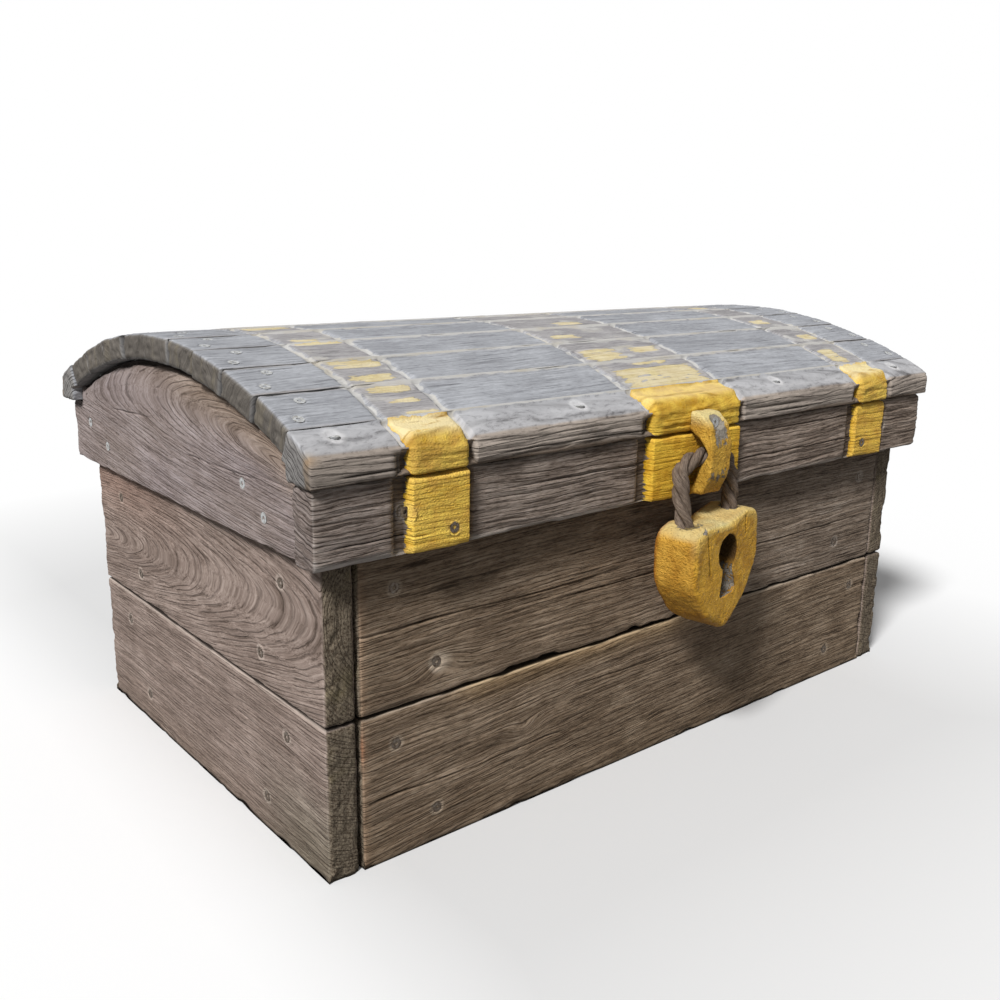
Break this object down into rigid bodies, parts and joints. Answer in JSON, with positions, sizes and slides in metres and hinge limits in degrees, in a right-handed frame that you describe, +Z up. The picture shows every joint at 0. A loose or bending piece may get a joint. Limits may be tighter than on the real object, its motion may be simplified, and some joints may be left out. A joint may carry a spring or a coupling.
{
  "type": "treasure chest",
  "caption": "Free-standing timber treasure chest with a hinged barrel lid of staves, straps carved in relief and a heart-shaped wooden padlock on a rope.",
  "frame": {"origin": "middle of the box's base, on the floor, under the middle floor bearer", "axes": "+X to the right seen from the front, +Y to the rear, +Z up"},
  "size_m": [1.268, 0.8948, 0.6412],
  "materials": {
    "wall_timber": "weathered, silvered hardwood with open grain",
    "inner_timber": "sawn, unweathered",
    "rail_timber": "weathered, open grain",
    "panel_timber": "weathered, brown",
    "roof_timber": "weathered blue-grey",
    "painted_timber": "thick worn ochre paint on rough wood",
    "rope": "twisted, weathered",
    "screw_steel": "dull galvanised",
    "hinge_steel": "black, satin"
  },
  "bodies": {
    "box": {"floor_board_1": "inner_timber", "floor_board_2": "inner_timber", "floor_board_3": "inner_timber", "floor_board_4": "inner_timber", "floor_screws": "screw_steel", "front_floor_ledger": "inner_timber", "front_left_post": "inner_timber", "front_plank_lower": "wall_timber", "front_plank_upper": "wall_timber", "front_right_post": "inner_timber", "hinge_wall_screws": "screw_steel", "left_end_floor_board": "inner_timber", "left_floor_ledger": "inner_timber", "left_hinge_wall_leaf": "hinge_steel", "left_plank_lower": "wall_timber", "left_plank_upper": "wall_timber", "middle_floor_bearer": "inner_timber", "rear_floor_ledger": "inner_timber", "rear_left_post": "inner_timber", "rear_plank_lower": "wall_timber", "rear_plank_upper": "wall_timber", "rear_right_post": "inner_timber", "right_end_floor_board": "inner_timber", "right_floor_ledger": "inner_timber", "right_hinge_wall_leaf": "hinge_steel", "right_plank_lower": "wall_timber", "right_plank_upper": "wall_timber", "wall_screws": "screw_steel"},
    "lid": {"front_eave_stave": "roof_timber", "front_rail": "rail_timber", "hinge_lid_screws": "screw_steel", "left_end_panel": "panel_timber", "left_hinge_lid_leaf": "hinge_steel", "left_hinge_pin": "hinge_steel", "lid_front_left_block": "inner_timber", "lid_front_right_block": "inner_timber", "lid_rear_left_block": "inner_timber", "lid_rear_right_block": "inner_timber", "panel_screws": "screw_steel", "rail_screws": "screw_steel", "rear_eave_stave": "roof_timber", "rear_rail": "rail_timber", "right_end_panel": "panel_timber", "right_hinge_lid_leaf": "hinge_steel", "right_hinge_pin": "hinge_steel", "staple": "painted_timber", "staple_screw": "screw_steel", "stave_1": "roof_timber", "stave_2": "roof_timber", "stave_3": "roof_timber", "stave_4": "roof_timber", "stave_5": "roof_timber", "stave_6": "roof_timber", "stave_7": "roof_timber", "stave_8": "roof_timber", "stave_9": "roof_timber", "stave_screws": "screw_steel"},
    "padlock": {"padlock_block": "painted_timber", "shackle_rope": "rope", "rope_end_screws": "screw_steel"}
  },
  "joints": [
    {"name": "lid_hinge", "type": "hinge", "parent": "box", "child": "lid", "pos_m": [0, 0.373, 0.4023], "axis": [-1, 0, 0], "range_deg": [0, 110]},
    {"name": "padlock_swing", "type": "hinge", "parent": "lid", "child": "padlock", "pos_m": [0, -0.4185, 0.4728], "axis": [-1, 0, 0], "range_deg": [0, 150]}
  ]
}
